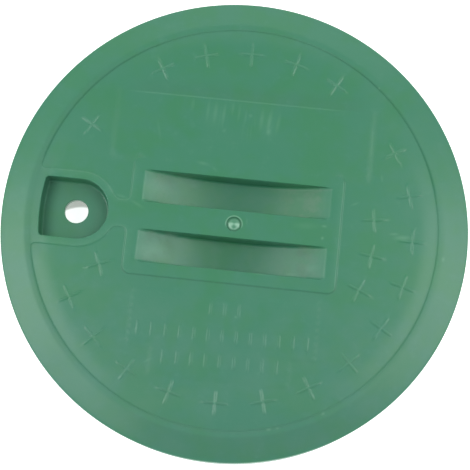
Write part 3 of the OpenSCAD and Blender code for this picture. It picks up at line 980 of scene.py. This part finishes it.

# %% [markdown]
# A thin grey film of dust, in which painted sheen and painted reflection are laid in the same colour: it grows
# towards the cover's right end as dust and over the lower half as a painted sheen, and the ends of the scoops
# get blotches of painted reflection where their slopes face the side lamps.

# %% Dust
DUST_AND_SHEEN_GREY = (0.33, 0.35, 0.33, 1)
# Painted sheen: the film grows over the lower half.
film_and_sheen = total(0.012, times(fade(at_y, 10, -75), 0.03), times(fade(at_x, 55, 95), 0.015))
film_and_sheen = times(on_top, film_and_sheen, fade(noise(16, 4, roughness=0.6), 0.25, 0.8))
blotches = fade(noise(8, 4, roughness=0.62), 0.42, 0.68)
# Painted reflection on the scoops' end slopes.
scoop_end_reflection = times(fade(over_x, 20, 44), total(0.02, times(blotches, 0.15)))
scoop_dust_and_reflection = times(in_scoops, total(times(blotches, 0.035), scoop_end_reflection, 0.012))
pocket_dust = times(in_pocket, total(times(fade(noise(5, 3, (1, 4, 1)), 0.4, 0.7), 0.03), 0.012))
dust_and_sheen = total(film_and_sheen, scoop_dust_and_reflection, pocket_dust)
colour = blend(dust_and_sheen, colour, DUST_AND_SHEEN_GREY)
print(len(tree.nodes), "nodes with the dust")

# %% [markdown]
# Smears, scuffs and specks, each an ellipse with soft edges: its middle, its two half widths, its angle and how
# strong it is. The run marks are on the upper panel, where the mould's wall drew them down from the fine line.
# The others are what wear has left, but for the two large ones at the left ends of the scoops, which are painted
# highlights. Fine streaks and scuffs come from noise.


# %% Smears
def ellipse(x, y, half_l, half_w, angle):
    """1 in the middle of an ellipse and 0 at its edge; angle in degrees from +X."""
    node = tree.nodes.new("ShaderNodeMapping")
    node.vector_type = "TEXTURE"
    node.inputs["Location"].default_value = (x * MM, y * MM, 0)
    node.inputs["Rotation"].default_value = (0, 0, math.radians(angle))
    node.inputs["Scale"].default_value = (half_l * MM, half_w * MM, 1)
    feed(node.inputs["Vector"], place_on_cover)
    return fade(vector_node("LENGTH", node.outputs[0], (0, 0, 0), "Value"), 1, 0)


RUN_MARKS = [
    (-31.2, 68.5, 5.5, 1.6, 88, 0.07), (-22.0, 66.0, 9.0, 1.5, 88, 0.08), (-17.6, 65.0, 9.5, 1.8, 88, 0.09),
    (-12.6, 65.0, 8.0, 1.3, 88, 0.07), (-7.7, 68.5, 6.0, 1.2, 88, 0.08), (-3.9, 65.5, 7.5, 1.1, 88, 0.07),
    (0.2, 64.0, 7.0, 1.1, 88, 0.06), (3.0, 65.1, 1.7, 1.5, 0, 0.12), (9.6, 63.0, 9.5, 1.8, 88, 0.10),
    (14.2, 62.5, 10.0, 1.7, 84, 0.12), (19.4, 62.0, 9.5, 1.6, 84, 0.08), (-11.5, 54.5, 2.0, 1.5, 60, 0.09),
    (14.4, 56.4, 3.0, 2.0, 70, 0.12), (-49.0, 51.0, 9.0, 1.2, 105, 0.06),
    (-18.0, 63.0, 12.0, 8.0, 90, 0.03), (13.5, 61.0, 13.0, 8.5, 88, 0.035),
]
WEAR_MARKS_AND_HIGHLIGHTS = [
    (-21.5, 33.8, 5.0, 1.6, -8, 0.12), (-14.5, 31.2, 3.0, 1.4, -40, 0.07), (103.2, 7.2, 3.0, 1.0, 70, 0.12),
    (96.5, 1.8, 7.5, 2.4, 6, 0.17), (91.5, 3.6, 4.0, 1.2, 6, 0.14), (120.5, -8.0, 2.4, 1.6, 80, 0.14),
    (67.9, 18.9, 3.8, 1.1, 28, 0.11), (82.0, 35.5, 3.4, 1.2, 100, 0.10), (-72.4, 13.0, 4.6, 1.5, -45, 0.1),
    (-66.0, 9.8, 5.0, 1.4, -12, 0.1), (-56.5, 6.0, 7.0, 1.4, -27, 0.1), (41.0, 3.2, 11.0, 3.0, 4, 0.07),
    (7.2, 2.1, 3.0, 0.8, 92, 0.09), (-39.8, -82.1, 4.5, 1.2, 30, 0.09), (76.0, 89.5, 1.3, 1.1, 0, 0.16),
    (51.5, 4.0, 2.4, 1.2, 0, 0.2), (51.0, -3.0, 1.5, 1.3, 60, 0.25), (6.5, -53.0, 1.2, 1.0, 0, 0.14),
    (31.2, -113.4, 2.2, 1.2, 12, 0.2), (60.3, -101.6, 1.8, 1.1, 35, 0.18),
    # The entries at (-46, 18) and (-45, -20) are painted highlights on the scoops' left end slopes.
    (36.0, -112.2, 1.6, 1.0, 12, 0.15), (-46.0, 18.0, 13.0, 9.0, 0, 0.14),
    (-45.0, -20.0, 13.0, 8.0, 0, 0.14), (-48.0, -22.5, 4.0, 3.0, 20, 0.10),
    (46.0, -20.5, 6.0, 3.4, 15, 0.11), (35.0, -24.5, 5.0, 1.8, 0, 0.08), (74.6, 57.0, 17.0, 0.9, 92, 0.06),
    (17.8, -27.3, 6.0, 0.9, 0, 0.10), (-26.1, 22.3, 4.0, 2.4, 0, 0.06), (37.0, 20.3, 5.0, 2.6, 0, 0.06),
]
marks = total(*(times(ellipse(*place), strength) for *place, strength in RUN_MARKS + WEAR_MARKS_AND_HIGHLIGHTS))
streaks = times(ellipse(-2, 58, 26, 20, 0), fade(noise(1.8, 2, (1, 14, 1)), 0.5, 0.75), 0.09)
scuffs = times(fade(noise(7, 5, roughness=0.7), 0.55, 0.78), 0.045, on_top)
marks = times(total(marks, streaks, scuffs), over_shells)
print(len(RUN_MARKS), "run marks,", len(WEAR_MARKS_AND_HIGHLIGHTS), "smears and specks")

# %% [markdown]
# What is pale goes on over the dust, with the painted highlights: the stored marks, the smears, and a painted
# highlight on the rim's left side, strongest at its lower left.

# %% Pale marks
PALE_AND_LIT_GREEN = (0.265, 0.525, 0.37, 1)
# Painted highlight on the rim's left side.
left_rim_highlight = total(times(fade(at_x, -70, -118), 0.045), times(ellipse(-68, -108, 46, 26, 148), 0.15))
left_rim_highlight = times(left_rim_highlight, fade(from_middle, CREASE_R + 2.4, CREASE_R + 5.0), on_top)
pale_and_highlight = math_node("MINIMUM", total(stored("pale_and_highlight"), marks, left_rim_highlight), 0.93)
colour = blend(pale_and_highlight, colour, PALE_AND_LIT_GREEN)
print(len(tree.nodes), "nodes with the pale marks")

# %% [markdown]
# Painted shade goes on last: in the crease between the dish and the rim, thinner where the pocket's frame
# crosses it, at the foot of the frame and in the gate's groove, above the fine line, on the lower rim, on the
# shelf on the left, and on the floors of the scoops and the pocket, most in the middle of the scoops and towards
# the pocket's outer end.

# %% Dark marks
PAINTED_SHADE_GREEN = (0.004, 0.03, 0.015, 1)
LINE_Y, SHELF_END = FRAME_Y + UPPER_W, CREASE_R + 4.2
at_pocket = times(fade(at_x, -104, -112), fade(over_y, 26, 18))
at_upper = times(fade(at_y, 10, 40), fade(at_y, 114, 96))
# Painted shade along the crease, stronger towards the top and at the very bottom.
crease = times(
    fade(from_middle, CREASE_R - 1.1, CREASE_R - 0.3), fade(from_middle, CREASE_R + 1.7, CREASE_R), on_top,
    math_node("SUBTRACT", 1.0, times(at_pocket, 0.7)),
    total(0.065, times(fade(at_y, -85, -110), 0.05), times(at_upper, 0.085)),
)
# Painted shade above the fine line.
shade_over_line = times(
    fade(at_y, LINE_Y + 13, LINE_Y + 2), fade(at_y, LINE_Y + 0.4, LINE_Y + 0.9), fade(over_x, 74, 56), on_top,
)
# Painted shade on the lower rim, which faces away from the lamps.
low_rim_shade = times(fade(from_middle, CREASE_R + 2.5, CREASE_R + 4.5), fade(at_y, -70, -118), on_top)
# Painted shade on the shelf and beside the pocket, on the left.
before_shoulder = fade(from_middle, SHELF_END, CREASE_R + 2.4)
on_shelf = times(fade(from_middle, CREASE_R - 0.5, CREASE_R + 0.5), before_shoulder)
by_pocket = times(fade(from_middle, 110, 112), before_shoulder, fade(over_y, 34, 20))
left_shelf_shade = times(math_node("MAXIMUM", on_shelf, by_pocket), fade(at_x, -60, -100), on_top)
# Painted shade on the floors of the scoops and the pocket.
pocket_wall_shade = times(fade(from_middle, 103, 111), 0.22)
recess_shade = total(times(in_scoops, fade(over_x, 34, 10), 0.08), times(in_pocket, total(0.05, pocket_wall_shade)))
dark = total(
    crease, times(stored("painted_shade"), 0.16), times(shade_over_line, 0.085), times(low_rim_shade, 0.11),
    times(left_shelf_shade, 0.07), recess_shade,
)
colour = blend(dark, colour, PAINTED_SHADE_GREEN)
feed(bsdf.inputs["Base Color"], colour)
print(len(tree.nodes), "nodes in the plastic's colour")

# %% [markdown]
# How it shines. The mould left a satin face that is never quite even. Dust, and the painted shade, dull it, most
# of all in the crease, and the pocket is duller than the rest. A grain finer than the eye can pick out breaks up
# the light, and waves a centimetre or two long, from the plastic's shrinking, keep the flat parts from looking
# ruled.

# %% Gloss and grain
gloss = total(
    0.27, times(noise(12, 4), 0.06), times(dark, 0.8), times(crease, 2.5), times(dust_and_sheen, 1.2),
    times(in_pocket, 0.15),
)
feed(bsdf.inputs["Roughness"], math_node("MINIMUM", gloss, 0.8))


def bump(height, size_mm, below=None):
    """Normals tilted as if the surface rose by size_mm where the height is 1."""
    node = tree.nodes.new("ShaderNodeBump")
    node.inputs["Distance"].default_value = size_mm * MM
    feed(node.inputs["Height"], height)
    if below is not None:
        feed(node.inputs["Normal"], below)
    return node.outputs["Normal"]


waves = bump(noise(17, 2), 0.22)
grain = bump(noise(0.9, 2), 0.008, waves)
feed(bsdf.inputs["Normal"], grain)
cover.data.materials.append(plastic)
print(len(tree.nodes), "nodes in the green plastic")

# %% [markdown]
# The table. A small object is photographed on a sheet of white paper, so the floor is one square of it at the
# height of the cover's foot. Paper under a light tent is lit from every side, and a weak glow of its own gives
# the same even, pale ground.

# %% Floor
PAPER, PAPER_SHADE = (0.9, 0.9, 0.9, 1), (0.43, 0.41, 0.405, 1)
floor_mesh = bpy.data.meshes.new("floor")
floor_mesh.from_pydata([(-3, -3, 0), (3, -3, 0), (3, 3, 0), (-3, 3, 0)], [], [(0, 1, 2, 3)])
floor = bpy.data.objects.new("floor", floor_mesh)
bpy.context.scene.collection.objects.link(floor)
paper = bpy.data.materials.new("white_paper")
paper.use_nodes = True
floor_mesh.materials.append(paper)
tree = paper.node_tree      # from here on the helpers add their nodes to the paper
paper_bsdf = tree.nodes["Principled BSDF"]
for socket, value in (("Base Color", PAPER), ("Roughness", 0.8), ("Emission Strength", 0.9)):
    paper_bsdf.inputs[socket].default_value = value
print("paper", [round(side, 1) for side in floor.dimensions[:2]], "m")

# %% [markdown]
# Light falls through the bolt hole on to the paper and leaves the upper part of what can be seen there in
# the cover's own shade. The shade's edge runs a little uphill from left to right, and it bows upwards.

# %% Shade under the hole
place_on_floor = tree.nodes.new("ShaderNodeTexCoord").outputs["Object"]
floor_axes = tree.nodes.new("ShaderNodeSeparateXYZ")
feed(floor_axes.inputs[0], vector_node("SUBTRACT", place_on_floor, (-0.0915, 0.0074, 0)))
bow = math_node("MULTIPLY", math_node("POWER", math_node("ABSOLUTE", floor_axes.outputs["X"]), 2.0), 26.0)
above_edge = math_node("ADD", floor_axes.outputs["Y"], bow)
under_cover = fade(vector_node("LENGTH", place_on_floor, (0, 0, 0), "Value"), 0.125, 0.12)
shade_on_floor = math_node("MULTIPLY", fade(above_edge, -0.0007, 0.0007), under_cover)
feed(paper_bsdf.inputs["Emission Color"], blend(shade_on_floor, (1, 1, 1, 1), PAPER_SHADE))
print(len(tree.nodes), "nodes in the paper")

# %% [markdown]
# The lamps. Satin plastic shows its shape by broad, soft highlights, so the lights are large: one box from
# either side for the walls of the scoops and the rim, and a wide one from behind that lies as a sheen over
# the far half. Each box is turned to look at the cover.


# %% Soft boxes
def soft_box(name, place, size, power):
    """A light of `size` metres that faces the cover: its first side lies level, its second points up at it."""
    lamp = bpy.data.lights.new(name, "AREA")
    lamp.shape = "RECTANGLE"
    lamp.size, lamp.size_y, lamp.energy = *size, power
    box = bpy.data.objects.new(name, lamp)
    box.location = place
    box.rotation_euler = Vector(place).to_track_quat("Z", "Y").to_euler()
    bpy.context.scene.collection.objects.link(box)
    print(name, "gives", power, "W from", round(Vector(place).length, 2), "m")


soft_box("left_box", (-0.66, -0.05, 1.0), (0.6, 0.7), 4.3)
soft_box("right_box", (0.64, 0.1, 1.02), (0.6, 0.7), 4.1)
soft_box("back_box", (0, 0.95, 0.85), (1.2, 0.5), 1.94)

# %% [markdown]
# The room round the table is a white tent, brightest near the horizon, where the paper sweep rises.

# %% Tent
SWEEP_LIGHT, ROOF_LIGHT = 0.92, 0.42
world = bpy.data.worlds.new("tent")
world.use_nodes = True
sky = world.node_tree
height_of_ray = sky.nodes.new("ShaderNodeSeparateXYZ")
sky.links.new(sky.nodes.new("ShaderNodeTexCoord").outputs["Generated"], height_of_ray.inputs[0])
falloff = sky.nodes.new("ShaderNodeMapRange")
falloff.interpolation_type = "SMOOTHSTEP"
for socket, number in zip(("From Min", "From Max", "To Min", "To Max"), (0.2, 0.75, SWEEP_LIGHT, ROOF_LIGHT)):
    falloff.inputs[socket].default_value = number
sky.links.new(height_of_ray.outputs["Z"], falloff.inputs["Value"])
sky.links.new(falloff.outputs["Result"], sky.nodes["Background"].inputs["Strength"])
sky.nodes["Background"].inputs["Color"].default_value = (1, 1, 1, 1)
bpy.context.scene.world = world
bpy.context.scene.view_settings.view_transform = "Standard"
print("tent from", SWEEP_LIGHT, "at the horizon to", ROOF_LIGHT, "overhead")

# %% [markdown]
# The camera looks almost straight down, from a little towards the viewer's side, and is turned slightly
# about its own axis. Its place, its aim and its focal length in pixels were fitted to the outlines of the
# rim, the frame, the pocket and the crosses, so that the render lies over the photograph.

# %% Camera
CAMERA_AT = Vector((0.01918, -0.1352, 0.7004))
CAMERA_AIM = Vector((0.00118, -0.0055, 0.028))
CAMERA_ROLL = math.radians(-5.97)
FOCAL_PX, FRAME_PX, SENSOR_MM = 1193.0, 470.0, 36.0

lens = bpy.data.cameras.new("camera")
lens.sensor_width = SENSOR_MM
lens.lens = SENSOR_MM * FOCAL_PX / FRAME_PX
camera = bpy.data.objects.new("camera", lens)
back = (CAMERA_AT - CAMERA_AIM).normalized()
right = Vector((math.sin(CAMERA_ROLL), math.cos(CAMERA_ROLL), 0)).cross(back).normalized()
turn = Matrix((right, back.cross(right), back)).transposed().to_4x4()
camera.matrix_world = Matrix.Translation(CAMERA_AT) @ turn
bpy.context.scene.collection.objects.link(camera)
bpy.context.scene.camera = camera
print("camera", round((CAMERA_AT - CAMERA_AIM).length, 3), "m away, focal length", round(lens.lens, 1), "mm")
